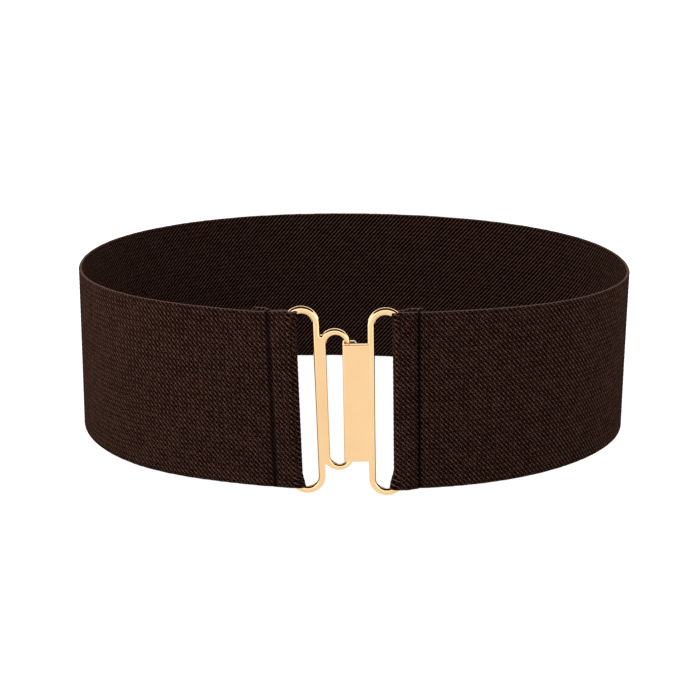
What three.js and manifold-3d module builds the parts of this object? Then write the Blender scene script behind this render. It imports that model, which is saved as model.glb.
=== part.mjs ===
// Elastic stretch belt, standing on its lower edge as it does when it is taken off.
// One strip of wide woven elastic runs round the waist. Each end is folded back round the hidden bar of a
// clasp half and sewn down. The clasp is two castings: a loop, and a plate with a hook that catches it.
// Millimetres, +Z up, the clasp at the front towards -Y, +X to the right of someone facing the clasp.

import * as THREE from 'three';
import { mergeVertices } from 'three/addons/utils/BufferGeometryUtils.js';
import Module from 'manifold-3d';

const wasm = await Module();
wasm.setup();

// The elastic strip. The waist sizes are those of its outer face.
const band_height = 75;
const band_thickness = 1.6;
const waist_half_width = 125.1;
const waist_half_depth = 100.3;

// The loop of relaxed elastic isn't a true oval. Each row adds a swell to its reach, as a share of the reach.
const OVAL_WAVES = [
  { times_round: 2, cos_share: 0, sin_share: -0.0101 },
  { times_round: 3, cos_share: 0.0035, sin_share: 0.0111 },
  { times_round: 4, cos_share: -0.0086, sin_share: 0.0025 },
];

// Nor does it stand quite upright. Each row adds to how far the strip's top edge leans out past its lower
// edge, as a share of its height.
const LEAN_WAVES = [
  { times_round: 1, cos_share: 0.0161, sin_share: 0.0045 },
  { times_round: 2, cos_share: -0.0164, sin_share: -0.0055 },
  { times_round: 3, cos_share: -0.0139, sin_share: -0.0324 },
];

// The frames of both clasp halves are alike. Their slots are a little lower than the strip, which gives way
// at its edges.
const bar_width = 2.9;
const bar_thickness = 2.6;
const edge_bevel = 0.35;
const frame_width = 14.7;
const slot_pinch = 0.8;

// The loop cast onto the left frame. The shared bar lies between the two slots, the caught bar is the far one.
const loop_width = 12.5;
const loop_height = 60.4;
const loop_end_width = 2.4;
const loop_overlap = 0.5;
const shared_bar_width = 5.2;
const caught_bar_width = 2;
const crotch_radius = 0.5;

// The plate cast onto the right frame, and the hook that its free edge is bent into.
const plate_width = 10;
const plate_height = 49.9;
const plate_drop = 0.3;
const plate_thickness = 2.2;
const hook_wall = 0.8;
const lip_width = 6;
const lip_thickness = 1.6;
const lip_corner = 1.8;

// Where the clasp lies: the middle of the caught bar across the belt, the front faces in depth, how much
// lower the loop half hangs, and how far each half leans in its own plane.
const catch_x = -1.2;
const clasp_front_inset = 4.9;
const loop_drop = 0.9;
const loop_tilt = THREE.MathUtils.degToRad(2.1);
const hook_tilt = THREE.MathUtils.degToRad(1.1);

// The folded ends. A seam's reach runs from the middle of the bar in the fold, its tail on from the seam. The
// turn round the bar is squarer than a half circle, as a strip is that is drawn round a flat bar.
const left_seam_reach = 8.2;
const right_seam_reach = 6.9;
const left_tail = 4.5;
const right_tail = 2;
const seam_forward = 0.8;
const corner_pinch = 1;
const nose_squareness = 2.6;
const settling_run = 70;

// Clearances between pieces, and inside a fold round its bar.
const play = 0.3;
const pocket_play = 0.4;

// How finely the round stretches are divided.
const band_stations = 120;
const band_levels = 2;
const arc_segments = 12;
const bend_steps = 5;

// The loop half hangs lowest and stands on the floor. Each bar lifts the folded end that it holds.
const frame_slot_height = band_height - slot_pinch;
const frame_height = frame_slot_height + 2 * bar_width;
const loop_clasp_z = frame_height / 2;
const hook_clasp_z = loop_clasp_z + loop_drop;
const clasp_front = clasp_front_inset - waist_half_depth;

// The plate lies in front of the caught bar, so the loop half sits behind the hook half's front faces.
const hook_y = clasp_front + bar_thickness / 2;
const loop_y = clasp_front + plate_thickness + play + bar_thickness / 2;
const bar_spacing = frame_width - bar_width;

// Across the clasp, from the caught bar: the small loop, then each frame's own middle.
const loop_middle_x = catch_x + (caught_bar_width - loop_width) / 2;
const loop_frame_x = loop_middle_x - loop_width / 2 + loop_overlap - frame_width / 2;
const tilt_play = Math.sin(Math.abs(loop_tilt - hook_tilt)) * (plate_height / 2 + plate_drop + loop_drop);
const plate_left_x = catch_x - caught_bar_width / 2 - play - tilt_play - hook_wall;
const hook_frame_x = plate_left_x + plate_width + frame_width / 2;

const elastic = new THREE.MeshStandardMaterial({ color: 0x2d211c, roughness: 0.9, metalness: 0 });
const pale_gold = new THREE.MeshStandardMaterial({ color: 0xf2cf96, roughness: 0.18, metalness: 1 });

// Manifold joins and cuts need one closed mesh whose faces share their corners.
function solid_of(geometry) {
  const bare = geometry.index ? geometry.toNonIndexed() : geometry.clone();
  bare.deleteAttribute('normal');
  bare.deleteAttribute('uv');
  const merged = mergeVertices(bare, 1e-4);
  const mesh = new wasm.Mesh({
    numProp: 3,
    vertProperties: new Float32Array(merged.attributes.position.array),
    triVerts: new Uint32Array(merged.index.array),
  });
  return new wasm.Manifold(mesh);
}

function geometry_of(solid) {
  const mesh = solid.getMesh();
  const geometry = new THREE.BufferGeometry();
  geometry.setAttribute('position', new THREE.BufferAttribute(new Float32Array(mesh.vertProperties), 3));
  geometry.setIndex(new THREE.BufferAttribute(new Uint32Array(mesh.triVerts), 1));
  geometry.computeVertexNormals();
  return geometry;
}

// What the rows of a table add up to at a turn round the waist.
function wave_sum(rows, turn) {
  let sum = 0;
  for (const row of rows) {
    sum += row.cos_share * Math.cos(row.times_round * turn);
    sum += row.sin_share * Math.sin(row.times_round * turn);
  }
  return sum;
}

// A point of the strip's outer face, before its ends are drawn straight. Turn 0 is at +X, a quarter turn
// is the middle of the back.
function oval_point(turn) {
  const reach = 1 + wave_sum(OVAL_WAVES, turn);
  return new THREE.Vector2(
    waist_half_width * reach * Math.cos(turn),
    waist_half_depth * reach * Math.sin(turn),
  );
}

// The turn at which the oval's front half passes a place across the belt.
function front_turn(x) {
  let low = -Math.PI;
  let high = 0;
  for (let i = 0; i < 40; i += 1) {
    const turn = (low + high) / 2;
    if (oval_point(turn).x < x) low = turn;
    else high = turn;
  }
  return (low + high) / 2;
}

// One folded end: the bar in the fold, where the oval passes its seam, and the heading of the fold in plan,
// which follows the oval there.
function folded_end({ side, bar_x, bar_y, bar_z, seam_reach, tail, tilt }) {
  const turn = front_turn(bar_x + side * seam_reach);
  const step = 0.01;
  const along = oval_point(turn + side * step).sub(oval_point(turn)).normalize();
  const inward = new THREE.Vector2(-side * along.y, side * along.x);
  return { side, bar: new THREE.Vector3(bar_x, bar_y, bar_z), seam_reach, tail, tilt, turn, along, inward };
}

const left_end = folded_end({
  side: -1,
  bar_x: loop_frame_x - bar_spacing / 2,
  bar_y: loop_y,
  bar_z: loop_clasp_z,
  seam_reach: left_seam_reach,
  tail: left_tail,
  tilt: loop_tilt,
});

const right_end = folded_end({
  side: 1,
  bar_x: hook_frame_x + bar_spacing / 2,
  bar_y: hook_y,
  bar_z: hook_clasp_z,
  seam_reach: right_seam_reach,
  tail: right_tail,
  tilt: hook_tilt,
});

// A point of a fold in plan, from the distance past its bar and the depth behind its bar.
function fold_point(end, past, depth) {
  return new THREE.Vector2(end.bar.x, end.bar.y)
    .addScaledVector(end.along, past)
    .addScaledVector(end.inward, depth);
}

// The outer face from the right seam, round the back, to the left seam, as an evenly spaced curve. Each
// seam lies a little off the oval, and the strip settles onto the oval over a stretch past it.
function waist_run() {
  const turns_between = 2 * Math.PI + left_end.turn - right_end.turn;
  const samples = 4 * band_stations;
  const off_oval = (end) => {
    const seam = fold_point(end, end.seam_reach, -seam_forward - band_thickness);
    return { seam, shift: seam.clone().sub(oval_point(end.turn)) };
  };
  const starts = [off_oval(right_end), off_oval(left_end)];
  const points = [];
  for (let i = 0; i <= samples; i += 1) {
    const place = oval_point(right_end.turn + (i / samples) * turns_between);
    const point = place.clone();
    for (const { seam, shift } of starts) {
      const share = 1 - THREE.MathUtils.smoothstep(place.distanceTo(seam) - shift.length(), 0, settling_run);
      point.addScaledVector(shift, share);
    }
    points.push(point);
  }
  return new THREE.SplineCurve(points);
}

const waist = waist_run();
waist.arcLengthDivisions = 8 * band_stations;
const waist_length = waist.getLength();

// A point of the strip between the seams: its distance from the right seam and its depth under the outer face.
function strip_point(distance, depth) {
  const share = THREE.MathUtils.clamp(distance / waist_length, 0, 1);
  const point = waist.getPointAt(share);
  const heading = waist.getTangentAt(share);
  return point.add(new THREE.Vector2(-heading.y, heading.x).multiplyScalar(depth));
}

// The room round the bar in a fold. One face of a fold runs flat over the bar, then bends to the seam,
// where both layers meet.
const pocket_half = bar_thickness / 2 + pocket_play;
const pocket_reach = bar_width / 2 + pocket_play;

function fold_face(end, over_bar, at_seam) {
  const points = [];
  for (let i = bend_steps; i >= 0; i -= 1) {
    const share = i / bend_steps;
    const past = THREE.MathUtils.lerp(pocket_reach, end.seam_reach, share);
    const depth = THREE.MathUtils.lerp(over_bar, at_seam, THREE.MathUtils.smoothstep(share, 0, 1));
    points.push(fold_point(end, past, depth));
  }
  return points;
}

// The turn round the free side of the bar, from its front to its back.
function nose_points(end, extra) {
  const points = [];
  const rounding = 2 / nose_squareness;
  for (let i = 0; i <= arc_segments; i += 1) {
    const angle = (Math.PI * i) / arc_segments;
    const past = -(pocket_reach + extra) * Math.sin(angle) ** rounding;
    const depth = -Math.sign(Math.cos(angle)) * (pocket_half + extra) * Math.abs(Math.cos(angle)) ** rounding;
    points.push(fold_point(end, past, depth));
  }
  return points;
}

function pocket_path(end) {
  const front = fold_face(end, -pocket_half, -seam_forward);
  const back = fold_face(end, pocket_half, -seam_forward).slice(1).reverse();
  return new THREE.Path([...front, ...nose_points(end, 0), ...back]);
}

function fold_outline(end) {
  const half = pocket_half + band_thickness;
  const front = fold_face(end, -half, -seam_forward - band_thickness).slice(1);
  const back = fold_face(end, half, -seam_forward + band_thickness).slice(1).reverse();
  return [...front, ...nose_points(end, band_thickness), ...back];
}

function band_shape() {
  const outer = [];
  for (let i = 0; i <= band_stations; i += 1) {
    outer.push(strip_point((waist_length * i) / band_stations, 0));
  }
  const double_wall = 2 * band_thickness;
  const left_seam = waist_length;
  const left_step = waist_length - left_end.tail;
  const right_step = right_end.tail;
  const inner = [strip_point(left_seam, double_wall), strip_point(left_step, double_wall)];
  for (let i = band_stations; i >= 0; i -= 1) {
    const distance = THREE.MathUtils.lerp(right_step, left_step, i / band_stations);
    inner.push(strip_point(distance, band_thickness));
  }
  inner.push(strip_point(right_step, double_wall), strip_point(0, double_wall));
  const shape = new THREE.Shape([
    ...outer,
    ...fold_outline(left_end),
    ...inner,
    ...fold_outline(right_end).reverse(),
  ]);
  shape.holes = [pocket_path(left_end), pocket_path(right_end)];
  return shape;
}

// The strip is extruded upright, then settled: its wall takes its lean, the front half rises so that the
// taller clasp stands on the same floor as the back, each folded end leans with its clasp half, and a fold's
// corners give way to the frame.
function settle_band(geometry) {
  const place = geometry.attributes.position;
  for (let i = 0; i < place.count; i += 1) {
    const x = place.getX(i);
    const y = place.getY(i);
    let height = place.getZ(i) - band_height / 2;
    const end = x < (left_end.bar.x + right_end.bar.x) / 2 ? left_end : right_end;
    const past_bar = end.side * (x - end.bar.x);
    const at_front = y < 0;
    const nose_tip = -pocket_reach - band_thickness;
    const pinch = at_front ? 1 - THREE.MathUtils.smoothstep(past_bar, nose_tip, pocket_reach) : 0;
    height *= 1 - (pinch * corner_pinch) / (band_height / 2);
    const run_end = end.seam_reach + settling_run;
    const free = at_front ? THREE.MathUtils.smoothstep(past_bar, end.seam_reach, run_end) : 1;
    const turn = Math.atan2(y / waist_half_depth, x / waist_half_width);
    const outward = new THREE.Vector2(
      Math.cos(turn) / waist_half_width,
      Math.sin(turn) / waist_half_depth,
    ).setLength(height * wave_sum(LEAN_WAVES, turn) * free);
    const risen = THREE.MathUtils.smoothstep(-y, 0, waist_half_depth - clasp_front_inset);
    const lift = (end.bar.z - band_height / 2) * risen;
    place.setXYZ(
      i,
      x + outward.x - height * Math.tan(end.tilt) * (1 - free),
      y + outward.y,
      height + band_height / 2 + lift,
    );
  }
  return geometry;
}

// A round-ended outline about its own middle, drawn anticlockwise.
function stadium(path, middle_x, width, height) {
  const radius = width / 2;
  const straight = height / 2 - radius;
  path.absarc(middle_x, straight, radius, 0, Math.PI, false);
  path.absarc(middle_x, -straight, radius, Math.PI, 2 * Math.PI, false);
  path.closePath();
  return path;
}

// A flat casting: its outline stands upright, faces the front, and has its edges eased on both faces.
function cast_plate(shape, thickness, bevel) {
  const geometry = new THREE.ExtrudeGeometry(shape, {
    depth: thickness - 2 * bevel,
    bevelThickness: bevel,
    bevelSize: bevel,
    bevelOffset: -bevel,
    bevelSegments: 2,
    curveSegments: arc_segments,
  });
  geometry.translate(0, 0, bevel - thickness / 2);
  geometry.rotateX(Math.PI / 2);
  return geometry;
}

// Sets a clasp half in its place: it leans about the bar that the elastic holds.
function hang_on_bar(geometry, frame_x, end) {
  geometry.translate(frame_x - end.bar.x, 0, 0);
  geometry.rotateY(-end.tilt);
  geometry.translate(end.bar.x, end.bar.y, end.bar.z);
  return geometry;
}

function frame_slot() {
  return stadium(new THREE.Path(), 0, frame_width - 2 * bar_width, frame_slot_height);
}

// The frame with the small loop on its right side, about the frame's own middle. The crotch where the loop
// leaves the frame is a small fillet that touches both.
function loop_half_shape() {
  const radius = frame_width / 2;
  const straight = frame_height / 2 - radius;
  const loop_radius = loop_width / 2;
  const loop_straight = loop_height / 2 - loop_radius;
  const loop_x = loop_middle_x - loop_frame_x;
  const crotch_x = radius + crotch_radius;
  const between = Math.acos((loop_x - crotch_x) / (loop_radius + crotch_radius));
  const crotch_z = loop_straight + (loop_radius + crotch_radius) * Math.sin(between);
  const shape = new THREE.Shape();
  shape.absarc(0, straight, radius, 0, Math.PI, false);
  shape.absarc(0, -straight, radius, Math.PI, 2 * Math.PI, false);
  shape.absarc(crotch_x, -crotch_z, crotch_radius, Math.PI, between, true);
  shape.absarc(loop_x, -loop_straight, loop_radius, Math.PI + between, 2 * Math.PI, false);
  shape.absarc(loop_x, loop_straight, loop_radius, 0, Math.PI - between, false);
  shape.absarc(crotch_x, crotch_z, crotch_radius, -between, -Math.PI, true);
  shape.closePath();
  const slot_left = radius - bar_width + shared_bar_width;
  const slot_right = loop_x + loop_radius - caught_bar_width;
  const loop_slot = stadium(
    new THREE.Path(),
    (slot_left + slot_right) / 2,
    slot_right - slot_left,
    loop_height - 2 * loop_end_width,
  );
  shape.holes = [frame_slot(), loop_slot];
  return shape;
}

function loop_half() {
  const geometry = hang_on_bar(
    cast_plate(loop_half_shape(), bar_thickness, edge_bevel),
    loop_frame_x,
    left_end,
  );
  const mesh = new THREE.Mesh(geometry, pale_gold);
  mesh.name = 'loop_half';
  return mesh;
}

// The hook half, about its frame's own middle: the frame, the plate whose right edge is cast into the
// frame's bar, and behind the plate a wall along its free edge with a lip behind the caught bar.
function hook_half_solid() {
  const ring = stadium(new THREE.Shape(), 0, frame_width, frame_height);
  ring.holes = [frame_slot()];
  const frame = cast_plate(ring, bar_thickness, edge_bevel);

  const left = plate_left_x - hook_frame_x;
  const bottom = -plate_height / 2 - plate_drop;
  const top = bottom + plate_height;
  const face = new THREE.Shape();
  face.moveTo(left, bottom);
  face.lineTo((bar_width - frame_width) / 2, bottom);
  face.lineTo((bar_width - frame_width) / 2, top);
  face.lineTo(left, top);
  face.closePath();
  const plate = cast_plate(face, plate_thickness, edge_bevel);
  plate.translate(0, (plate_thickness - bar_thickness) / 2, 0);

  const back_edge = new THREE.Shape();
  back_edge.moveTo(left, top);
  back_edge.lineTo(left, bottom);
  back_edge.absarc(left + lip_width - lip_corner, bottom + lip_corner, lip_corner, -Math.PI / 2, 0, false);
  back_edge.absarc(left + lip_width - lip_corner, top - lip_corner, lip_corner, 0, Math.PI / 2, false);
  back_edge.closePath();
  const lip = cast_plate(back_edge, lip_thickness, edge_bevel);
  const channel = bar_thickness + 2 * play;
  lip.translate(0, plate_thickness - bar_thickness / 2 + channel + lip_thickness / 2, 0);

  const wall_depth = channel + plate_thickness / 2 + lip_thickness / 2;
  const wall = new THREE.BoxGeometry(hook_wall, wall_depth, plate_height - 2 * edge_bevel);
  wall.translate(
    left + hook_wall / 2,
    (plate_thickness - bar_thickness + wall_depth) / 2,
    (bottom + top) / 2,
  );
  return solid_of(frame).add(solid_of(plate)).add(solid_of(wall)).add(solid_of(lip));
}

function hook_half() {
  const geometry = hang_on_bar(geometry_of(hook_half_solid()), hook_frame_x, right_end);
  const mesh = new THREE.Mesh(geometry, pale_gold);
  mesh.name = 'hook_half';
  return mesh;
}

// What a frame clears round itself in the elastic: its own ring, larger by the play all round.
function frame_room(frame_x, end) {
  const shape = stadium(new THREE.Shape(), 0, frame_width + 2 * play, frame_height + 2 * play);
  const slot_width = frame_width - 2 * bar_width - 2 * play;
  const slot_height = frame_slot_height - 2 * play;
  shape.holes = [stadium(new THREE.Path(), 0, slot_width, slot_height)];
  return solid_of(hang_on_bar(cast_plate(shape, bar_thickness + 2 * play, edge_bevel), frame_x, end));
}

function elastic_band() {
  const geometry = new THREE.ExtrudeGeometry(band_shape(), {
    depth: band_height,
    steps: band_levels,
    bevelEnabled: false,
  });
  const strip = solid_of(settle_band(geometry));
  const room = frame_room(loop_frame_x, left_end).add(frame_room(hook_frame_x, right_end));
  const mesh = new THREE.Mesh(geometry_of(strip.subtract(room)), elastic);
  mesh.name = 'elastic_band';
  return mesh;
}

// The belt's origin is the middle of its footprint, on the floor.
const belt = new THREE.Group();
belt.add(elastic_band(), loop_half(), hook_half());
const extent = new THREE.Box3().setFromObject(belt, true);
const middle = extent.getCenter(new THREE.Vector3());
belt.position.set(-middle.x, -middle.y, -extent.min.z);

export default belt;
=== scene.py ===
import math
import random

import bmesh
import bpy
from mathutils import Matrix, Vector


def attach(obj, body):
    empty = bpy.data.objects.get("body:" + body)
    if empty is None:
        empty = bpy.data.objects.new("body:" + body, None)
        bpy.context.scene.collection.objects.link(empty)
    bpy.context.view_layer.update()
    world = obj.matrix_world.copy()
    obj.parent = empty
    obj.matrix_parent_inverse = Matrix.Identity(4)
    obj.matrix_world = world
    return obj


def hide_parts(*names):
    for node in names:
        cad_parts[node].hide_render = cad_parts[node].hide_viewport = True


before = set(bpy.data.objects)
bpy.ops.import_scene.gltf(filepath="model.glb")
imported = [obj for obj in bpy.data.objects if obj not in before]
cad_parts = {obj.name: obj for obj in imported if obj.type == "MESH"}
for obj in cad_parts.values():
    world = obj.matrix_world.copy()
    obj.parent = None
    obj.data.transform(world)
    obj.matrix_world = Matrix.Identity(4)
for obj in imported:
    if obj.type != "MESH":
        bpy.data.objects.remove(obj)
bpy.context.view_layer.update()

scene = bpy.context.scene
scene.view_settings.view_transform = "Standard"


# The camera stands in front of the clasp and a little above it, looking down into the waist. Its focal
# length, distance and small shift are those that the belt's outline gives.
picture_side = 700
focal_pixels = 1593.1
camera_distance = 0.7351
camera_elevation = math.radians(17.13)
camera_roll = math.radians(0.238)
look_at = Vector((0, 0, 0.0375))
middle_x = 353.68
middle_y = 339.9

camera_data = bpy.data.cameras.new("photo_camera")
camera_data.sensor_width = 36
camera_data.lens = 36 * focal_pixels / picture_side
camera_data.shift_x = (picture_side / 2 - middle_x) / picture_side
camera_data.shift_y = (middle_y - picture_side / 2) / picture_side
camera = bpy.data.objects.new("photo_camera", camera_data)
scene.collection.objects.link(camera)
backward = Vector((0, -math.cos(camera_elevation), math.sin(camera_elevation)))
level_up = Vector((0, math.sin(camera_elevation), math.cos(camera_elevation)))
across = Vector((1, 0, 0)) * math.cos(camera_roll) + level_up * math.sin(camera_roll)
upward = backward.cross(across)
turned = Matrix((across, upward, backward)).transposed()
camera.matrix_world = Matrix.Translation(look_at + backward * camera_distance) @ turned.to_4x4()
scene.camera = camera


# The floor is a wide white light table, so that the shadow under the belt stays faint. It glows more towards
# the sides. The room is white and is brightest at the horizon, and two soft lights hang over the belt.
floor_half = 9
floor_glow = 0.98
side_glow = 1.0
side_from = 0.05
side_to = 0.35
floor_gray = 0.05
horizon_brightness = 2.1
zenith_brightness = 0.6
zenith_from = 0.75

floor_mesh = bpy.data.meshes.new("floor")
panel = bmesh.new()
bmesh.ops.create_grid(panel, x_segments=2, y_segments=2, size=floor_half)
panel.to_mesh(floor_mesh)
panel.free()
floor = bpy.data.objects.new("floor", floor_mesh)
scene.collection.objects.link(floor)
floor_white = bpy.data.materials.new("floor_white")
floor_white.use_nodes = True
table_top = floor_white.node_tree.nodes["Principled BSDF"]
table_top.inputs["Base Color"].default_value = (floor_gray, floor_gray, floor_gray, 1)
table_top.inputs["Roughness"].default_value = 0.8
table_top.inputs["Specular IOR Level"].default_value = 0
table_top.inputs["Emission Color"].default_value = (1, 1, 1, 1)
links = floor_white.node_tree.links
floor_place = floor_white.node_tree.nodes.new("ShaderNodeTexCoord")
floor_axes = floor_white.node_tree.nodes.new("ShaderNodeSeparateXYZ")
sideways = floor_white.node_tree.nodes.new("ShaderNodeMath")
sideways.operation = "ABSOLUTE"
glow = floor_white.node_tree.nodes.new("ShaderNodeMapRange")
glow.interpolation_type = "SMOOTHSTEP"
glow.inputs["From Min"].default_value = side_from
glow.inputs["From Max"].default_value = side_to
glow.inputs["To Min"].default_value = floor_glow
glow.inputs["To Max"].default_value = floor_glow + side_glow
links.new(floor_place.outputs["Object"], floor_axes.inputs[0])
links.new(floor_axes.outputs["X"], sideways.inputs[0])
links.new(sideways.outputs[0], glow.inputs["Value"])
links.new(glow.outputs[0], table_top.inputs["Emission Strength"])
floor_mesh.materials.append(floor_white)

room = bpy.data.worlds.new("white_room")
room.use_nodes = True
sky = room.node_tree.nodes["Background"]
sky.inputs["Color"].default_value = (1, 1, 1, 1)
heading = room.node_tree.nodes.new("ShaderNodeTexCoord")
upness = room.node_tree.nodes.new("ShaderNodeSeparateXYZ")
fading = room.node_tree.nodes.new("ShaderNodeMapRange")
fading.interpolation_type = "SMOOTHSTEP"
fading.inputs["From Min"].default_value = 0
fading.inputs["From Max"].default_value = zenith_from
fading.inputs["To Min"].default_value = horizon_brightness
fading.inputs["To Max"].default_value = zenith_brightness
room.node_tree.links.new(heading.outputs["Generated"], upness.inputs[0])
room.node_tree.links.new(upness.outputs["Z"], fading.inputs["Value"])
room.node_tree.links.new(fading.outputs[0], sky.inputs["Strength"])
scene.world = room


def soft_light(name, place, size, power):
    light = bpy.data.lights.new(name, "AREA")
    light.shape = "SQUARE"
    light.size = size
    light.energy = power
    lamp = bpy.data.objects.new(name, light)
    scene.collection.objects.link(lamp)
    place = Vector(place)
    facing = (place - look_at).to_track_quat("Z", "Y").to_matrix().to_4x4()
    lamp.matrix_world = Matrix.Translation(place) @ facing
    lamp.visible_glossy = False


soft_light("key_light", (-0.9, -0.8, 0.9), 0.9, 15)
soft_light("top_light", (0.1, 0.2, 1.3), 1.0, 12)


# Two panels that only polished metal sees: a dark ceiling, which draws the dark line along each eased edge,
# and a lit backdrop behind the belt, which draws the light line above it.
ceiling_height = 1.1
ceiling_half = 1.37
ceiling_forward = 0.29
ceiling_color = (0.01, 0.008, 0.006)
backdrop_half = 0.5
backdrop_away = 1.6
backdrop_foot = 0.05
backdrop_glow = 1.25


def mirror_panel(name, half, turn, place, color, glow_strength):
    mesh = bpy.data.meshes.new(name)
    shape = bmesh.new()
    bmesh.ops.create_grid(shape, x_segments=2, y_segments=2, size=half)
    bmesh.ops.rotate(shape, verts=shape.verts, cent=(0, 0, 0), matrix=Matrix.Rotation(turn, 3, "X"))
    bmesh.ops.translate(shape, verts=shape.verts, vec=place)
    shape.to_mesh(mesh)
    shape.free()
    material = bpy.data.materials.new(name)
    material.use_nodes = True
    surface = material.node_tree.nodes["Principled BSDF"]
    surface.inputs["Base Color"].default_value = (*color, 1)
    surface.inputs["Specular IOR Level"].default_value = 0
    surface.inputs["Emission Color"].default_value = (1, 1, 1, 1)
    surface.inputs["Emission Strength"].default_value = glow_strength
    mesh.materials.append(material)
    made = bpy.data.objects.new(name, mesh)
    scene.collection.objects.link(made)
    made.visible_camera = False
    made.visible_diffuse = False
    made.visible_shadow = False
    return made


ceiling_place = (0, -ceiling_forward, ceiling_height)
ceiling = mirror_panel("dark_ceiling", ceiling_half, 0, ceiling_place, ceiling_color, 0)
ceiling.visible_transmission = False
backdrop_place = (0, backdrop_away, backdrop_half + backdrop_foot)
backdrop = mirror_panel("white_backdrop", backdrop_half, math.pi / 2, backdrop_place, (0, 0, 0), backdrop_glow)


# The elastic band: one strip of wide woven elastic, dark brown, with rubber threads inside. It runs round
# the waist and each end is folded round the bar of a clasp half, then sewn down to itself.
band_height = 0.075
band_thickness = 0.0016
waist_half_width = 0.1251
waist_half_depth = 0.1003
footprint_shift = Vector((-0.000288, -0.00144))
oval_waves = [
    {"times_round": 2, "cos_share": 0, "sin_share": -0.0101},
    {"times_round": 3, "cos_share": 0.0035, "sin_share": 0.0111},
    {"times_round": 4, "cos_share": -0.0086, "sin_share": 0.0025},
]
lean_waves = [
    {"times_round": 1, "cos_share": 0.0161, "sin_share": 0.0045},
    {"times_round": 2, "cos_share": -0.0164, "sin_share": -0.0055},
    {"times_round": 3, "cos_share": -0.0139, "sin_share": -0.0324},
]
bar_thickness = 0.0026
pocket_half = 0.0017
pocket_reach = 0.00185
seam_forward = 0.0008
nose_squareness = 2.6
settling_run = 0.07
clasp_front_inset = 0.0049
tail_gap = 0.0001
run_step = 0.002
fold_step = 0.0006
nose_steps = 24
fold_layer_steps = 16
oval_samples = 960
halvings = 40
turn_ahead = 0.01


def smoothstep(value, low, high):
    share = min(max((value - low) / (high - low), 0), 1)
    return share * share * (3 - 2 * share)


def wave_sum(rows, turn):
    total = 0
    for row in rows:
        total += row["cos_share"] * math.cos(row["times_round"] * turn)
        total += row["sin_share"] * math.sin(row["times_round"] * turn)
    return total


def oval_point(turn):
    reach = 1 + wave_sum(oval_waves, turn)
    return Vector((waist_half_width * reach * math.cos(turn), waist_half_depth * reach * math.sin(turn)))


# A fold hangs where the front of the oval passes its seam, and its layers run along the oval there.
def folded_end(side, bar, seam_reach, tail, tilt):
    low = -math.pi
    high = 0
    for _ in range(halvings):
        turn = (low + high) / 2
        if oval_point(turn).x < bar.x + side * seam_reach:
            low = turn
        else:
            high = turn
    along = (oval_point(turn + side * turn_ahead) - oval_point(turn)).normalized()
    inward = Vector((-side * along.y, side * along.x))
    return {"side": side, "bar": bar, "reach": seam_reach, "tail": tail, "tilt": tilt, "turn": turn,
            "along": along, "inward": inward}


def fold_point(end, past, depth):
    return end["bar"].xy + end["along"] * past + end["inward"] * depth


# Each fold lies in its own way. In front of the bar its upper edge is raised by spread and its lower edge by
# rise, it passes the bar by nose_extra, and its upper and lower corners reach on towards the clasp.
left_end = folded_end(-1, Vector((-0.02545, -0.0916, 0.04)), 0.0082, 0.0045, math.radians(2.1))
left_end.update(spread=0.0013, rise=0.0007, nose_extra=0.0005, corner_reach=0.0016, foot_reach=0.0018)
right_end = folded_end(1, Vector((0.019494, -0.0941, 0.0409)), 0.0069, 0.002, math.radians(1.1))
right_end.update(spread=0.0007, rise=0, nose_extra=-0.0003, corner_reach=0.0009, foot_reach=0.0024)


def waist_points():
    shifts = []
    for end in (right_end, left_end):
        seam = fold_point(end, end["reach"], -seam_forward - band_thickness)
        shifts.append((seam, seam - oval_point(end["turn"])))
    turns_between = 2 * math.pi + left_end["turn"] - right_end["turn"]
    points = []
    for i in range(oval_samples + 1):
        place = oval_point(right_end["turn"] + i / oval_samples * turns_between)
        point = place.copy()
        for seam, shift in shifts:
            point += shift * (1 - smoothstep((place - seam).length - shift.length, 0, settling_run))
        points.append(point)
    return points


def offset_line(points, depth):
    moved = []
    for i, point in enumerate(points):
        before = points[max(i - 1, 0)]
        after = points[min(i + 1, len(points) - 1)]
        heading = (after - before).normalized()
        moved.append(point + Vector((-heading.y, heading.x)) * depth)
    return moved


def fold_layer(end, over_bar, at_seam):
    points = []
    for i in range(fold_layer_steps + 1):
        share = i / fold_layer_steps
        past = pocket_reach + (end["reach"] - pocket_reach) * share
        points.append(fold_point(end, past, over_bar + (at_seam - over_bar) * smoothstep(share, 0, 1)))
    return points


def fold_nose(end):
    points = []
    rounding = 2 / nose_squareness
    for i in range(1, nose_steps):
        angle = math.pi * i / nose_steps
        past = -(pocket_reach + end["nose_extra"] + band_thickness / 2) * math.sin(angle) ** rounding
        swing = math.copysign(abs(math.cos(angle)) ** rounding, -math.cos(angle))
        points.append(fold_point(end, past, swing * (pocket_half + band_thickness / 2)))
    return points


def resampled(points, step):
    lengths = [0]
    for a, b in zip(points, points[1:]):
        lengths.append(lengths[-1] + (b - a).length)
    count = max(2, round(lengths[-1] / step))
    even = []
    k = 0
    for i in range(count + 1):
        wanted = lengths[-1] * i / count
        while k < len(points) - 2 and lengths[k + 1] < wanted:
            k += 1
        share = (wanted - lengths[k]) / (lengths[k + 1] - lengths[k])
        even.append(points[k].lerp(points[k + 1], min(max(share, 0), 1)))
    return even


# The middle line of the strip in plan, from the cut end behind the right fold to the one behind the left.
outer_run = waist_points()
middle_run = offset_line(outer_run, band_thickness / 2)
tail_run = offset_line(outer_run, band_thickness * 1.5 + tail_gap)
over_bar = pocket_half + band_thickness / 2
front_at_seam = -seam_forward - band_thickness / 2
back_at_seam = -seam_forward + band_thickness / 2 + tail_gap


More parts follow.
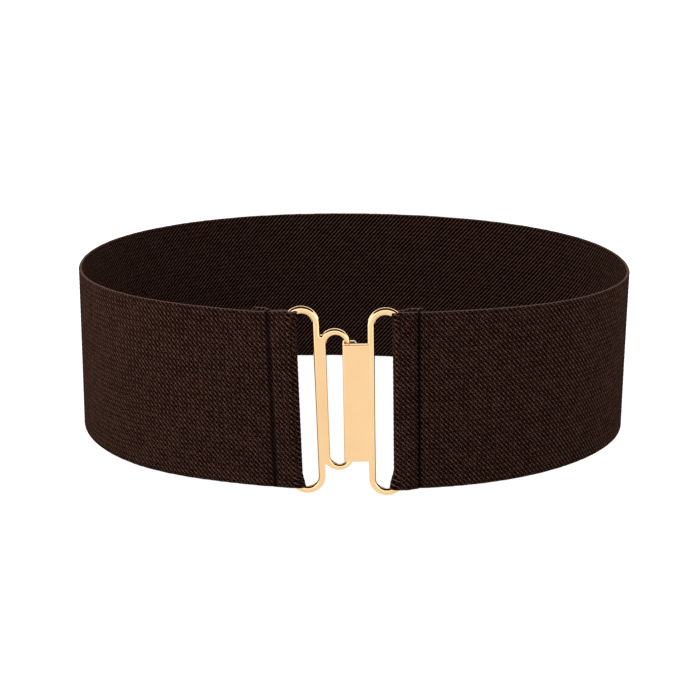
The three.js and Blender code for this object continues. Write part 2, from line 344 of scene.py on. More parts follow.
def fold_line(end, tail_points):
    back = fold_layer(end, over_bar, back_at_seam)
    front = fold_layer(end, -over_bar, front_at_seam)
    tail = []
    length = 0
    for a, b in zip(tail_points, tail_points[1:]):
        if length > end["tail"]:
            break
        tail.append(b)
        length += (b - a).length
    return tail[::-1] + back[::-1] + fold_nose(end)[::-1] + front


right_fold = resampled(fold_line(right_end, tail_run), fold_step)
left_fold = resampled(fold_line(left_end, tail_run[::-1]), fold_step)[::-1]
waist_run = resampled(middle_run, run_step)
path = right_fold[:-1] + waist_run + left_fold[1:]
right_seam_station = len(right_fold) - 1
left_seam_station = right_seam_station + len(waist_run) - 1
path_length = [0]
for a, b in zip(path, path[1:]):
    path_length.append(path_length[-1] + (b - a).length)
strip_length = path_length[-1]
path_outward = []
for i, point in enumerate(path):
    heading = (path[min(i + 1, len(path) - 1)] - path[max(i - 1, 0)]).normalized()
    path_outward.append(Vector((heading.y, -heading.x)))
left_seam_shift = 0.00125
seam_lengths = (path_length[right_seam_station], path_length[left_seam_station] + left_seam_shift)


# The strip as it stands: it leans a little, rises towards the clasp, and is fuller on the left than the oval.
# At each fold it is pinched in round the bar's ends, and in front of the bar its corners are drawn out.
left_fullness = 0.0008
left_fullness_from = 0.08
corner_pinch = 0.0007
corner_span = (0.0315, 0.0372)
corner_droop = 0.0008
foot_span = (0.026, 0.0372)
spread_reach = 1.5
spread_end = (-0.0003, 0.0006)


def settled(plan, height):
    end = left_end if plan.x < (left_end["bar"].x + right_end["bar"].x) / 2 else right_end
    past_bar = end["side"] * (plan.x - end["bar"].x)
    at_front = plan.y < 0
    nose_tip = -pocket_reach - band_thickness
    pinch = 1 - smoothstep(past_bar, nose_tip, pocket_reach) if at_front else 0
    depth = (plan - end["bar"].xy).dot(end["inward"])
    pinch *= 1 - smoothstep(abs(depth), bar_thickness / 4, pocket_half)
    in_front = smoothstep(-depth, 0, bar_thickness / 2) if at_front else 0
    spread = in_front * (1 - smoothstep(past_bar, 0, spread_reach * end["reach"]))
    spread *= 1 - smoothstep(-past_bar, spread_end[0] - nose_tip, spread_end[1] - nose_tip)
    edge_share = abs(height) / (band_height / 2)
    height += edge_share * spread * (end["spread"] if height > 0 else end["rise"])
    height *= 1 - pinch * corner_pinch / (band_height / 2)
    at_nose = in_front * smoothstep(-past_bar, 0, pocket_reach)
    corner = at_nose * smoothstep(height, *corner_span)
    height -= corner * corner_droop
    foot = at_nose * smoothstep(-height, *foot_span)
    free = smoothstep(past_bar, end["reach"], end["reach"] + settling_run) if at_front else 1
    turn = math.atan2(plan.y / waist_half_depth, plan.x / waist_half_width)
    outward = Vector((math.cos(turn) / waist_half_width, math.sin(turn) / waist_half_depth)).normalized()
    place = plan + outward * height * wave_sum(lean_waves, turn) * free + footprint_shift
    place.x -= height * math.tan(end["tilt"]) * (1 - free)
    place.x -= left_fullness * smoothstep(-plan.x, left_fullness_from, waist_half_width)
    place.x -= end["side"] * (end["corner_reach"] * corner + end["foot_reach"] * foot)
    risen = smoothstep(-plan.y, 0, waist_half_depth - clasp_front_inset)
    return Vector((place.x, place.y, height + band_height / 2 + (end["bar"].z - band_height / 2) * risen))


# Its section: ribbed faces and rounded selvedges. The inner face keeps its own stretch of the map. The sewing
# pulls a groove into the outer face, and the tail behind each fold stands a little higher than the strip.
rib_count = 33
rib_depth = 0.00011
edge_steps = 6
inner_map_start = 0.1
tail_rise = 0.0012
tail_length = 0.009
seam_groove = 0.0005
seam_groove_reach = 0.0012
edge_radius = band_thickness / 2
edge_fullness = 0.00025
edge_wobble = 0.00006
edge_wobble_band = 0.003
cut_end_ease = 0.0012
cut_end_share = 0.35
flat_half = band_height / 2 - edge_radius + edge_fullness


def strip_section():
    rows = []
    steps = 2 * rib_count
    for i in range(steps + 1):
        rows.append((flat_half * (2 * i / steps - 1), edge_radius - (i % 2) * rib_depth, 0))
    for i in range(1, edge_steps):
        angle = math.pi * i / edge_steps
        extra = edge_radius * (min(angle, math.pi - angle) - math.sin(angle))
        rows.append((flat_half + edge_radius * math.sin(angle), edge_radius * math.cos(angle), extra))
    for i in range(steps + 1):
        rows.append((flat_half * (1 - 2 * i / steps), -edge_radius + (i % 2) * rib_depth, 0))
    for i in range(1, edge_steps):
        angle = math.pi * i / edge_steps
        extra = edge_radius * (min(angle, math.pi - angle) - math.sin(angle))
        rows.append((-flat_half - edge_radius * math.sin(angle), -edge_radius * math.cos(angle), -extra))
    return rows


section = strip_section()
inner_from = 2 * rib_count + edge_steps // 2
inner_to = inner_from + 2 * rib_count + edge_steps
random.seed(7)
wobble = [random.uniform(-1, 1) for _ in path]


def near_seam(length):
    return max(math.exp(-((length - seam) / seam_groove_reach) ** 2) for seam in seam_lengths)


def strip_place(station, row):
    height, offset, _ = section[row]
    length = path_length[station]
    from_cut = min(length, strip_length - length)
    end_ease = cut_end_share + (1 - cut_end_share) * smoothstep(from_cut, 0, cut_end_ease)
    groove = seam_groove * near_seam(length) * (1 - smoothstep(abs(height), flat_half - 0.001, flat_half))
    if offset > 0:
        offset -= groove
    in_tail = 1 - smoothstep(from_cut, tail_length / 2, tail_length)
    height += edge_fullness * (1 - height / flat_half) / 2
    if height > 0:
        height += tail_rise * in_tail
    height += edge_wobble * wobble[station] * smoothstep(abs(height), flat_half - edge_wobble_band, flat_half)
    return settled(path[station] + path_outward[station] * offset * end_ease, height)


strip = bmesh.new()
bmesh.ops.create_grid(strip, x_segments=len(path) - 1, y_segments=len(section), size=1)
map_layer = strip.loops.layers.uv.new("strip_map")
last_station = len(path) - 1
cell_of = {}
for vert in strip.verts:
    station = round((vert.co.x + 1) / 2 * last_station)
    row = round((vert.co.y + 1) / 2 * len(section))
    cell_of[vert] = (station, row)
for face in strip.faces:
    low_row = min(cell_of[loop.vert][1] for loop in face.loops)
    inner = inner_from <= low_row < inner_to
    for loop in face.loops:
        station, row = cell_of[loop.vert]
        height, _, extra = section[row % len(section)]
        across_strip = band_height / 2 + height + extra + (inner_map_start if inner else 0)
        loop[map_layer].uv = (path_length[station], across_strip)
for vert, (station, row) in cell_of.items():
    vert.co = strip_place(station, row % len(section))
bmesh.ops.remove_doubles(strip, verts=strip.verts, dist=1e-6)
for face in strip.faces:
    face.smooth = True
cut_edges = [edge for edge in strip.edges if edge.is_boundary]
bmesh.ops.holes_fill(strip, edges=cut_edges, sides=0)
bmesh.ops.recalc_face_normals(strip, faces=strip.faces)
band_mesh = bpy.data.meshes.new("elastic_strip")
strip.to_mesh(band_mesh)
strip.free()
elastic_strip = bpy.data.objects.new("elastic_strip", band_mesh)
scene.collection.objects.link(elastic_strip)


# The weave: yarn floats stand in columns along the strip and in rows across it. Diagonal lines through both
# are the strongest, on the outer face and still more on the inner one.
column_pitch = 0.00203
row_pitch = band_height / rib_count


def math_node(tree, operation, a, b=None, c=None):
    node = tree.nodes.new("ShaderNodeMath")
    node.operation = operation
    for socket, value in zip(node.inputs, (a, b, c)):
        if value is None:
            continue
        if isinstance(value, (int, float)):
            socket.default_value = value
        else:
            tree.links.new(value, socket)
    return node.outputs[0]


def new_group(name, inputs, outputs):
    group = bpy.data.node_groups.new(name, "ShaderNodeTree")
    for socket_name, default in inputs:
        socket = group.interface.new_socket(name=socket_name, in_out="INPUT", socket_type="NodeSocketFloat")
        socket.default_value = default
    for socket_name, kind in outputs:
        group.interface.new_socket(name=socket_name, in_out="OUTPUT", socket_type=kind)
    return group, group.nodes.new("NodeGroupInput"), group.nodes.new("NodeGroupOutput")


def float_weave_group():
    names = ["Diagonal", "Rows", "Counter Diagonal", "Steep Diagonal", "Columns"]
    inputs = [("Columns At", 0), ("Rows At", 0)] + [(name, 0.2) for name in names]
    group, given, out = new_group("float_weave", inputs, [("Height", "NodeSocketFloat")])
    column = given.outputs["Columns At"]
    row = given.outputs["Rows At"]
    double_row = math_node(group, "MULTIPLY", row, 2)
    waves = {
        "Diagonal": math_node(group, "ADD", column, row),
        "Rows": row,
        "Counter Diagonal": math_node(group, "SUBTRACT", column, row),
        "Steep Diagonal": math_node(group, "ADD", column, double_row),
        "Columns": column,
    }
    total = None
    for name in names:
        swing = math_node(group, "COSINE", math_node(group, "MULTIPLY", waves[name], 2 * math.pi))
        part = math_node(group, "MULTIPLY", swing, given.outputs[name])
        total = part if total is None else math_node(group, "ADD", total, part)
    group.links.new(total, out.inputs["Height"])
    return group


float_weave = float_weave_group()


def color_ramp(tree, value, stops):
    ramp = tree.nodes.new("ShaderNodeValToRGB")
    ramp.color_ramp.elements.remove(ramp.color_ramp.elements[1])
    ramp.color_ramp.elements[0].position = stops[0][0]
    ramp.color_ramp.elements[0].color = (*stops[0][1], 1)
    for position, color in stops[1:]:
        ramp.color_ramp.elements.new(position).color = (*color, 1)
    tree.links.new(value, ramp.inputs["Fac"])
    return ramp.outputs["Color"]


def weave_use(tree, column, row, strengths):
    node = tree.nodes.new("ShaderNodeGroup")
    node.node_tree = float_weave
    tree.links.new(column, node.inputs["Columns At"])
    tree.links.new(row, node.inputs["Rows At"])
    for name, strength in strengths.items():
        node.inputs[name].default_value = strength
    return node.outputs["Height"]


def mix_colors(tree, share, a, b):
    node = tree.nodes.new("ShaderNodeMix")
    node.data_type = "RGBA"
    for value, socket in ((share, node.inputs[0]), (a, node.inputs[6]), (b, node.inputs[7])):
        if isinstance(value, (int, float)):
            socket.default_value = value
        elif isinstance(value, tuple):
            socket.default_value = (*value, 1)
        else:
            tree.links.new(value, socket)
    return node.outputs[2]


gap_and_shade_brown = (0.0004, 0.0002, 0.0002)
yarn_brown = (0.0070, 0.0027, 0.0018)
float_brown = (0.078, 0.038, 0.028)
selvedge_highlight_brown = (0.085, 0.054, 0.046)
seam_shade = 0.85
inner_shade = 0.3
selvedge_width = 0.0005
wander_scale = 260
wander_apart = 31
fuzz_along = 2600
fuzz_across = 3000


def elastic_material():
    material = bpy.data.materials.new("woven_elastic")
    material.use_nodes = True
    tree = material.node_tree
    cloth = tree.nodes["Principled BSDF"]
    strip_map = tree.nodes.new("ShaderNodeUVMap")
    strip_map.uv_map = "strip_map"
    split = tree.nodes.new("ShaderNodeSeparateXYZ")
    tree.links.new(strip_map.outputs["UV"], split.inputs[0])
    along = split.outputs["X"]
    inner = math_node(tree, "GREATER_THAN", split.outputs["Y"], inner_map_start - 0.01)
    shift = math_node(tree, "MULTIPLY", inner, inner_map_start)
    height = math_node(tree, "SUBTRACT", split.outputs["Y"], shift)

    # The yarns wander a little, so the rows and columns aren't ruled.
    spread = tree.nodes.new("ShaderNodeCombineXYZ")
    tree.links.new(math_node(tree, "MULTIPLY", along, wander_scale), spread.inputs[0])
    tree.links.new(math_node(tree, "MULTIPLY", height, wander_scale), spread.inputs[1])
    tree.links.new(math_node(tree, "MULTIPLY", inner, wander_apart), spread.inputs[2])
    wander = tree.nodes.new("ShaderNodeTexNoise")
    wander.inputs["Scale"].default_value = 1
    wander.inputs["Detail"].default_value = 2
    tree.links.new(spread.outputs[0], wander.inputs["Vector"])
    drift = math_node(tree, "MULTIPLY_ADD", wander.outputs["Fac"], 0.6, -0.3)
    column = math_node(tree, "ADD", math_node(tree, "DIVIDE", along, column_pitch), drift)
    row = math_node(tree, "SUBTRACT", math_node(tree, "DIVIDE", height, row_pitch), drift)

    outer_height = weave_use(tree, column, row, {
        "Diagonal": 0.36, "Rows": 0.11, "Counter Diagonal": 0.12, "Steep Diagonal": 0.20, "Columns": 0.08,
    })
    fine_height = weave_use(tree, math_node(tree, "MULTIPLY", column, 2), row, {
        "Diagonal": 0.18, "Rows": 0, "Counter Diagonal": 0.14, "Steep Diagonal": 0.12, "Columns": 0,
    })
    outer_height = math_node(tree, "ADD", outer_height, fine_height)
    inner_height = weave_use(tree, column, row, {
        "Diagonal": 0.62, "Rows": 0.08, "Counter Diagonal": 0.12, "Steep Diagonal": 0.12, "Columns": 0.02,
    })
    sided = tree.nodes.new("ShaderNodeMix")
    sided.data_type = "FLOAT"
    tree.links.new(inner, sided.inputs[0])
    tree.links.new(outer_height, sided.inputs[2])
    tree.links.new(inner_height, sided.inputs[3])
    relief = sided.outputs[0]

    # Each float takes the light a little differently, and fine fibre fuzz lies over all of them.
    cells = tree.nodes.new("ShaderNodeCombineXYZ")
    tree.links.new(math_node(tree, "ROUND", column), cells.inputs[0])
    tree.links.new(math_node(tree, "ROUND", row), cells.inputs[1])
    tree.links.new(inner, cells.inputs[2])
    chance = tree.nodes.new("ShaderNodeTexWhiteNoise")
    tree.links.new(cells.outputs[0], chance.inputs["Vector"])
    fuzz_place = tree.nodes.new("ShaderNodeCombineXYZ")
    tree.links.new(math_node(tree, "MULTIPLY", along, fuzz_along), fuzz_place.inputs[0])
    tree.links.new(math_node(tree, "MULTIPLY", height, fuzz_across), fuzz_place.inputs[1])
    fuzz = tree.nodes.new("ShaderNodeTexNoise")
    fuzz.inputs["Scale"].default_value = 1
    fuzz.inputs["Detail"].default_value = 1
    tree.links.new(fuzz_place.outputs[0], fuzz.inputs["Vector"])
    varied = math_node(tree, "MULTIPLY_ADD", chance.outputs["Value"], 0.2, -0.1)
    fuzzed = math_node(tree, "MULTIPLY_ADD", fuzz.outputs["Fac"], 2.6, -1.3)
    tone = math_node(tree, "ADD", math_node(tree, "ADD", relief, varied), fuzzed)
    tone = math_node(tree, "MULTIPLY_ADD", tone, 0.45, 0.5)
    woven = color_ramp(tree, tone, [(0.27, gap_and_shade_brown), (0.5, yarn_brown), (0.86, float_brown)])
    # Painted shade: the inner face is darkened towards the gap colour, as less light reaches inside the waist.
    woven = mix_colors(tree, math_node(tree, "MULTIPLY", inner, inner_shade), woven, gap_and_shade_brown)

    # The selvedges are fuzzy, and both are painted a lighter brown as a painted highlight where the edge
    # catches the light; the fibre fuzz breaks it up.
    from_middle = math_node(tree, "ABSOLUTE", math_node(tree, "SUBTRACT", height, band_height / 2))
    selvedge = tree.nodes.new("ShaderNodeMapRange")
    selvedge.interpolation_type = "SMOOTHSTEP"
    selvedge.inputs["From Min"].default_value = flat_half + selvedge_width
    selvedge.inputs["From Max"].default_value = flat_half + 2 * selvedge_width
    tree.links.new(from_middle, selvedge.inputs["Value"])
    selvedge_highlight_fuzz = math_node(tree, "MULTIPLY_ADD", fuzz.outputs["Fac"], 1.2, 0.1)
    selvedge_highlight_share = math_node(tree, "MULTIPLY", selvedge.outputs[0], selvedge_highlight_fuzz)
    colored = mix_colors(tree, selvedge_highlight_share, woven, selvedge_highlight_brown)

    # Little light reaches the bottom of the groove at each seam.
    seam_share = None
    for seam in seam_lengths:
        groove = tree.nodes.new("ShaderNodeMapRange")
        groove.interpolation_type = "SMOOTHSTEP"
        groove.inputs["From Min"].default_value = 1.5 * seam_groove_reach
        groove.inputs["From Max"].default_value = 0
        groove.inputs["To Max"].default_value = seam_shade
        from_seam = math_node(tree, "ABSOLUTE", math_node(tree, "SUBTRACT", along, seam))
        tree.links.new(from_seam, groove.inputs["Value"])
        share = groove.outputs[0]
        seam_share = share if seam_share is None else math_node(tree, "MAXIMUM", seam_share, share)
    tree.links.new(mix_colors(tree, seam_share, colored, gap_and_shade_brown), cloth.inputs["Base Color"])

    bump = tree.nodes.new("ShaderNodeBump")
    bump.inputs["Strength"].default_value = 0.9
    bump.inputs["Distance"].default_value = 0.0004
    rough_height = math_node(tree, "MULTIPLY_ADD", fuzz.outputs["Fac"], 0.35, relief)
    tree.links.new(rough_height, bump.inputs["Height"])
    tree.links.new(bump.outputs["Normal"], cloth.inputs["Normal"])
    roughness = math_node(tree, "MULTIPLY_ADD", fuzz.outputs["Fac"], 0.15, 0.8)
    tree.links.new(roughness, cloth.inputs["Roughness"])
    cloth.inputs["Specular IOR Level"].default_value = 0
    cloth.inputs["Sheen Weight"].default_value = 0.02
    cloth.inputs["Sheen Roughness"].default_value = 0.4
    cloth.inputs["Sheen Tint"].default_value = (0.9, 0.5, 0.35, 1)
    return material


elastic_cloth = elastic_material()
band_mesh.materials.append(elastic_cloth)
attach(elastic_strip, "root")
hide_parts("elastic_band")


# The seams: a row of dark lockstitches through both layers of each fold. Each stitch is a short loop of
# twisted thread that lies sunk in the groove that it pulls.
stitch_length = 0.0019
stitch_pitch = row_pitch
stitch_rows = 31
thread_radius = 0.00022
thread_dark = (0.0012, 0.0006, 0.0005)
thread_light = (0.007, 0.0035, 0.0025)


def strip_frame(length, height, offset):
    station = min(range(len(path)), key=lambda i: abs(path_length[i] - length))
    here = settled(path[station] + path_outward[station] * offset, height)
    outward = Vector((path_outward[station].x, path_outward[station].y, 0))
    return here, outward


stitches = bmesh.new()
for seam in seam_lengths:
    for face_side in (1, -1):
        for i in range(stitch_rows):
            height = (i - (stitch_rows - 1) / 2) * stitch_pitch
            if face_side > 0:
                place, outward = strip_frame(seam, height, edge_radius - seam_groove * 0.9)
            else:
                place, outward = strip_frame(seam, height, -edge_radius - band_thickness - tail_gap)
            made = bmesh.ops.create_uvsphere(stitches, u_segments=8, v_segments=6, radius=1)["verts"]
            bmesh.ops.scale(stitches, verts=made, vec=(thread_radius, thread_radius, stitch_length / 2))
            bmesh.ops.translate(stitches, verts=made, vec=place)
for face in stitches.faces:
    face.smooth = True
stitch_mesh = bpy.data.meshes.new("seam_stitches")
stitches.to_mesh(stitch_mesh)
stitches.free()
seam_stitches = bpy.data.objects.new("seam_stitches", stitch_mesh)
scene.collection.objects.link(seam_stitches)


def thread_material():
    material = bpy.data.materials.new("dark_thread")
    material.use_nodes = True
    tree = material.node_tree
    thread = tree.nodes["Principled BSDF"]
    place = tree.nodes.new("ShaderNodeTexCoord")
    plies = tree.nodes.new("ShaderNodeTexWave")
    plies.bands_direction = "DIAGONAL"
    plies.inputs["Scale"].default_value = 900
    plies.inputs["Distortion"].default_value = 0.6
    tree.links.new(place.outputs["Object"], plies.inputs["Vector"])
    twisted = color_ramp(tree, plies.outputs["Fac"], [(0, thread_dark), (1, thread_light)])
    tree.links.new(twisted, thread.inputs["Base Color"])
    bump = tree.nodes.new("ShaderNodeBump")
    bump.inputs["Strength"].default_value = 0.6
    bump.inputs["Distance"].default_value = 0.0001
    tree.links.new(plies.outputs["Fac"], bump.inputs["Height"])
    tree.links.new(bump.outputs["Normal"], thread.inputs["Normal"])
    thread.inputs["Roughness"].default_value = 0.8
    thread.inputs["Specular IOR Level"].default_value = 0
    return material


stitch_mesh.materials.append(thread_material())
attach(seam_stitches, "root")


# The strip's cut ends fray: short yarn ends stand out of the edge behind each fold, and loose fibres lie
# along the upper selvedge of the folded part.
fibres_per_end = 170
fibre_radius = 0.00005
fibre_color = (0.105, 0.072, 0.060)
upper_lengths = (0.0006, 0.0015)
cut_lengths = (0.0005, 0.0014)
crowding = 1.3


def add_fibre(shape, place, direction, length):
    made = bmesh.ops.create_cone(shape, cap_ends=True, segments=3, radius1=fibre_radius,
                                 radius2=fibre_radius / 2, depth=length)["verts"]
    facing = direction.to_track_quat("Z", "Y").to_matrix()
    bmesh.ops.translate(shape, verts=made, vec=(0, 0, length / 2))
    bmesh.ops.rotate(shape, verts=made, cent=(0, 0, 0), matrix=facing)
    bmesh.ops.translate(shape, verts=made, vec=place)


fibres = bmesh.new()
for end in (right_end, left_end):
    start = 0 if end is right_end else strip_length
    inward_sign = 1 if end is right_end else -1
    folded_length = end["tail"] + end["reach"]
    for i in range(fibres_per_end):
        past_cut = folded_length * random.random() ** crowding
        place, outward = strip_frame(start + inward_sign * past_cut, flat_half + edge_radius * 0.8, 0)
        heading = Vector((-outward.y, outward.x, 0))
        direction = heading * random.choice((-1, 1)) + Vector((0, 0, random.uniform(0.1, 0.55)))
        direction += outward * random.uniform(-0.25, 0.25)
        place += outward * random.uniform(-0.6, 0.6) * edge_radius
        add_fibre(fibres, place, direction, random.uniform(*upper_lengths))
    for i in range(fibres_per_end):
        height = random.uniform(-flat_half, flat_half)
        offset = random.uniform(-0.3, 0.3) * edge_radius
        place, outward = strip_frame(start, height, offset)
        heading = Vector((-outward.y, outward.x, 0)) * -inward_sign
        direction = -heading + Vector((0, 0, random.uniform(-0.4, 0.4))) + outward * random.uniform(-0.3, 0.3)
        add_fibre(fibres, place, direction, random.uniform(*cut_lengths))
fibre_mesh = bpy.data.meshes.new("frayed_fibres")
fibres.to_mesh(fibre_mesh)
fibres.free()
frayed_fibres = bpy.data.objects.new("frayed_fibres", fibre_mesh)
scene.collection.objects.link(frayed_fibres)
fibre_material = bpy.data.materials.new("fibre_fuzz")
fibre_material.use_nodes = True
fibre_tree = fibre_material.node_tree
fibre_look = fibre_tree.nodes["Principled BSDF"]
fibre_place = fibre_tree.nodes.new("ShaderNodeTexCoord")
fibre_tone = fibre_tree.nodes.new("ShaderNodeTexNoise")
fibre_tone.inputs["Scale"].default_value = 800
fibre_tree.links.new(fibre_place.outputs["Object"], fibre_tone.inputs["Vector"])
fibre_browns = color_ramp(fibre_tree, fibre_tone.outputs["Fac"], [(0.3, yarn_brown), (0.7, fibre_color)])
fibre_tree.links.new(fibre_browns, fibre_look.inputs["Base Color"])
fibre_look.inputs["Roughness"].default_value = 0.8
fibre_look.inputs["Specular IOR Level"].default_value = 0.1
fibre_mesh.materials.append(fibre_material)
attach(frayed_fibres, "root")


# The two clasp halves are zinc castings, polished and plated pale gold. Both have the same tall round-ended
# frame. Their edges are rounded off, and the rounding mirrors the ceiling as a fine dark line.
bar_width = 0.0029
frame_width = 0.0147
frame_slot_height = 0.0742
frame_height = frame_slot_height + 2 * bar_width
edge_ease = 0.00112
narrow_ease_share = 0.84
sharp_angle = math.radians(50)
arc_steps = 28
gold_dark = (0.88, 0.585, 0.305)
gold_light = (0.92, 0.625, 0.335)


def draw_round_end(shape, start, center, angle, steps):
    grown = bmesh.ops.spin(shape, geom=[start], cent=center, axis=(0, -1, 0), angle=angle, steps=steps)
    return [item for item in grown["geom_last"] if isinstance(item, bmesh.types.BMVert)][0]


def draw_line(shape, start, along):
    grown = bmesh.ops.extrude_vert_indiv(shape, verts=[start])
    bmesh.ops.translate(shape, verts=grown["verts"], vec=along)
    return grown["verts"][0]


def draw_stadium(shape, middle_x, width, height):
    radius = width / 2
    straight = height / 2 - radius
    first = shape.verts.new((middle_x + radius, 0, -straight))
    corner = draw_line(shape, first, (0, 0, 2 * straight))
    corner = draw_round_end(shape, corner, (middle_x, 0, straight), math.pi, arc_steps)
    corner = draw_line(shape, corner, (0, 0, -2 * straight))
    draw_round_end(shape, corner, (middle_x, 0, -straight), math.pi, arc_steps)
    bmesh.ops.remove_doubles(shape, verts=shape.verts, dist=1e-7)


def cast_from_outline(shape, thickness):
    bmesh.ops.triangle_fill(shape, edges=shape.edges, use_beauty=True)
    bmesh.ops.recalc_face_normals(shape, faces=shape.faces)
    inner_edges = [edge for edge in shape.edges if len(edge.link_faces) == 2]
    bmesh.ops.dissolve_limit(shape, angle_limit=math.radians(1), edges=inner_edges)
    bmesh.ops.translate(shape, verts=shape.verts, vec=(0, -thickness / 2, 0))
    grown = bmesh.ops.extrude_face_region(shape, geom=shape.faces[:])
    moved = [item for item in grown["geom"] if isinstance(item, bmesh.types.BMVert)]
    bmesh.ops.translate(shape, verts=moved, vec=(0, thickness, 0))
    bmesh.ops.recalc_face_normals(shape, faces=shape.faces)


# The sharp edges are marked for easing, and less is taken off the narrow bars that lie past narrow_from.
def mark_edges(shape, narrow_from):
    weights = shape.edges.layers.float.new("bevel_weight_edge")
    for edge in shape.edges:
        if edge.calc_face_angle(0) > sharp_angle:
            middle = (edge.verts[0].co + edge.verts[1].co) / 2
            edge[weights] = narrow_ease_share if middle.x > narrow_from else 1


def ease_edges(piece, width, method):
    ease = piece.modifiers.new("eased_edges", "BEVEL")
    ease.width = width
    ease.segments = 5
    ease.limit_method = method
    ease.angle_limit = sharp_angle
    ease.harden_normals = True
    ease.use_clamp_overlap = False


def hang_on_bar(shape, frame_x, end):
    bar = end["bar"]
    bmesh.ops.translate(shape, verts=shape.verts, vec=(frame_x - bar.x, 0, 0))
    leaning = Matrix.Rotation(-end["tilt"], 3, "Y")
    bmesh.ops.rotate(shape, verts=shape.verts, cent=(0, 0, 0), matrix=leaning)
    bmesh.ops.translate(shape, verts=shape.verts, vec=bar + footprint_shift.to_3d())


def finish_casting(shape, name):
    for face in shape.faces:
        face.smooth = True
    mesh = bpy.data.meshes.new(name)
    shape.to_mesh(mesh)
    shape.free()
    piece = bpy.data.objects.new(name, mesh)
    scene.collection.objects.link(piece)
    return piece


def gold_material():
    material = bpy.data.materials.new("pale_gold_plate")
    material.use_nodes = True
    tree = material.node_tree
    gold = tree.nodes["Principled BSDF"]
    place = tree.nodes.new("ShaderNodeTexCoord")
    haze = tree.nodes.new("ShaderNodeTexNoise")
    haze.inputs["Scale"].default_value = 60
    haze.inputs["Detail"].default_value = 4
    tree.links.new(place.outputs["Object"], haze.inputs["Vector"])
    gold_color = color_ramp(tree, haze.outputs["Fac"], [(0.3, gold_dark), (0.7, gold_light)])
    tree.links.new(gold_color, gold.inputs["Base Color"])
    roughness = math_node(tree, "MULTIPLY_ADD", haze.outputs["Fac"], 0.03, 0.045)
    tree.links.new(roughness, gold.inputs["Roughness"])
    grain = tree.nodes.new("ShaderNodeTexNoise")
    grain.inputs["Scale"].default_value = 700
    grain.inputs["Detail"].default_value = 2
    tree.links.new(place.outputs["Object"], grain.inputs["Vector"])
    bump = tree.nodes.new("ShaderNodeBump")
    bump.inputs["Strength"].default_value = 0.03
    bump.inputs["Distance"].default_value = 0.0001
    tree.links.new(grain.outputs["Fac"], bump.inputs["Height"])
    tree.links.new(bump.outputs["Normal"], gold.inputs["Normal"])
    gold.inputs["Metallic"].default_value = 1
    return material


pale_gold = gold_material()


# The loop half: the left frame, and on its side a smaller round-ended loop that shares the frame's bar. It
# is one flat casting, and the elastic is folded round its outer bar.
loop_width = 0.0125
loop_height = 0.0604
loop_end_width = 0.0024
loop_overlap = 0.0005
shared_bar_width = 0.0052
caught_bar_width = 0.002
crotch_radius = 0.0005
crotch_steps = 6
caught_bar_x = -0.0012
loop_middle_x = caught_bar_x + (caught_bar_width - loop_width) / 2
loop_frame_x = loop_middle_x - loop_width / 2 + loop_overlap - frame_width / 2


def draw_loop_outline(shape):
    radius = frame_width / 2
    straight = frame_height / 2 - radius
    loop_radius = loop_width / 2
    loop_straight = loop_height / 2 - loop_radius
    loop_x = loop_middle_x - loop_frame_x
    crotch_x = radius + crotch_radius
    between = math.acos((loop_x - crotch_x) / (loop_radius + crotch_radius))
    crotch_z = loop_straight + (loop_radius + crotch_radius) * math.sin(between)
    first = shape.verts.new((radius, 0, straight))
    corner = draw_round_end(shape, first, (0, 0, straight), math.pi, arc_steps)
    corner = draw_line(shape, corner, (0, 0, -2 * straight))
    corner = draw_round_end(shape, corner, (0, 0, -straight), math.pi, arc_steps)
    corner = draw_line(shape, corner, (0, 0, straight - crotch_z))
    corner = draw_round_end(shape, corner, (crotch_x, 0, -crotch_z), between - math.pi, crotch_steps)
    corner = draw_round_end(shape, corner, (loop_x, 0, -loop_straight), math.pi - between, arc_steps)
    corner = draw_line(shape, corner, (0, 0, 2 * loop_straight))
    corner = draw_round_end(shape, corner, (loop_x, 0, loop_straight), math.pi - between, arc_steps)
    corner = draw_round_end(shape, corner, (crotch_x, 0, crotch_z), between - math.pi, crotch_steps)
    shape.edges.new((corner, first))


loop_shape = bmesh.new()
draw_loop_outline(loop_shape)
draw_stadium(loop_shape, 0, frame_width - 2 * bar_width, frame_slot_height)
slot_left = frame_width / 2 - bar_width + shared_bar_width
slot_right = loop_middle_x - loop_frame_x + loop_width / 2 - caught_bar_width
slot_height = loop_height - 2 * loop_end_width
draw_stadium(loop_shape, (slot_left + slot_right) / 2, slot_right - slot_left, slot_height)
cast_from_outline(loop_shape, bar_thickness)
mark_edges(loop_shape, frame_width / 2 + crotch_radius / 2)
hang_on_bar(loop_shape, loop_frame_x, left_end)
loop_casting = finish_casting(loop_shape, "loop_casting")
ease_edges(loop_casting, edge_ease, "WEIGHT")
loop_casting.data.materials.append(pale_gold)
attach(loop_casting, "root")
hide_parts("loop_half")


# The hook half: the right frame, with a flat plate on its side whose free edge is bent back into a hook. The
# hook catches the small loop's far bar, so the plate lies in front of it. The frame hangs a little low.
hook_frame_drop = 0.0004
plate_width = 0.010
plate_height = 0.0499
plate_drop = 0.0003
plate_thickness = 0.0022
hook_wall = 0.0008
plate_stands_out = 0.00006
plate_blend = 0.0005
plate_ease = 0.0004
corner_round = 0.0008
corner_steps = 6
hook_gap = 0.0032
lip_width = 0.006
lip_thickness = 0.0016
lip_corner = 0.0018
hook_frame_x = right_end["bar"].x - (frame_width - bar_width) / 2
plate_left = -plate_width - frame_width / 2

hook_shape = bmesh.new()
draw_stadium(hook_shape, 0, frame_width, frame_height)
draw_stadium(hook_shape, 0, frame_width - 2 * bar_width, frame_slot_height)
cast_from_outline(hook_shape, bar_thickness)
mark_edges(hook_shape, frame_width)
hang_on_bar(hook_shape, hook_frame_x, right_end)
bmesh.ops.translate(hook_shape, verts=hook_shape.verts, vec=(0, 0, -hook_frame_drop))
hook_frame = finish_casting(hook_shape, "hook_frame")
ease_edges(hook_frame, edge_ease, "WEIGHT")


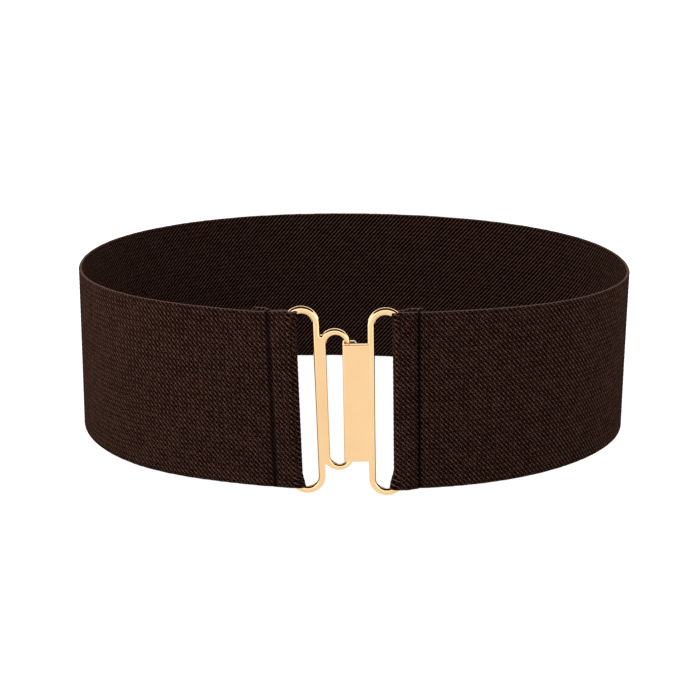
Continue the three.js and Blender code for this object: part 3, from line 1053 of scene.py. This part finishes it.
def draw_bend(shape, start, center_y):
    center = (plate_left + corner_round, center_y, 0)
    grown = bmesh.ops.spin(shape, geom=[start], cent=center, axis=(0, 0, -1), angle=math.pi / 2,
                           steps=corner_steps)
    return [item for item in grown["geom_last"] if isinstance(item, bmesh.types.BMVert)][0]


# The plate and its hook are one bent strip of metal, drawn as its edge seen from above. Its front stands out
# from the frame's by a hair and slopes back to it, so that the two polished faces meet without a gap.
bend = bmesh.new()
front = -bar_thickness / 2 - plate_stands_out
back = front + plate_thickness + hook_gap + lip_thickness
plate_right = (bar_width - frame_width) / 2
walk = bend.verts.new((plate_right, front + plate_thickness, 0))
first = walk
walk = draw_line(bend, walk, (0, -plate_thickness + plate_stands_out, 0))
walk = draw_line(bend, walk, (-plate_blend, -2 * plate_stands_out, 0))
blend_x = plate_right - plate_blend
walk = draw_line(bend, walk, (plate_left + corner_round - blend_x, 0, 0))
walk = draw_bend(bend, walk, front + corner_round)
walk = draw_line(bend, walk, (0, back - front - 2 * corner_round, 0))
walk = draw_bend(bend, walk, back - corner_round)
walk = draw_line(bend, walk, (lip_width - corner_round, 0, 0))
walk = draw_line(bend, walk, (0, -lip_thickness, 0))
walk = draw_line(bend, walk, (hook_wall - lip_width, 0, 0))
walk = draw_line(bend, walk, (0, -hook_gap, 0))
bend.edges.new((walk, first))
bmesh.ops.contextual_create(bend, geom=bend.edges[:])
bmesh.ops.translate(bend, verts=bend.verts, vec=(0, 0, -plate_height / 2 - plate_drop))
grown = bmesh.ops.extrude_face_region(bend, geom=bend.faces[:])
moved = [item for item in grown["geom"] if isinstance(item, bmesh.types.BMVert)]
bmesh.ops.translate(bend, verts=moved, vec=(0, 0, plate_height))
bmesh.ops.recalc_face_normals(bend, faces=bend.faces)
lip_end_x = plate_left + lip_width
lip_ends = []
for edge in bend.edges:
    a, b = (vert.co for vert in edge.verts)
    if abs(a.x - lip_end_x) < 1e-5 and abs(b.x - lip_end_x) < 1e-5 and abs(a.z - b.z) < 1e-6:
        lip_ends.append(edge)
bmesh.ops.bevel(bend, geom=lip_ends, offset=lip_corner, offset_type="OFFSET", segments=corner_steps,
                profile=0.5, affect="EDGES", material=-1)
hang_on_bar(bend, hook_frame_x, right_end)
hook_plate = finish_casting(bend, "hook_plate")
ease_edges(hook_plate, plate_ease, "ANGLE")
hook_plate.parent = hook_frame
for piece in (hook_frame, hook_plate):
    piece.data.materials.append(pale_gold)
    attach(piece, "root")
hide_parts("hook_half")
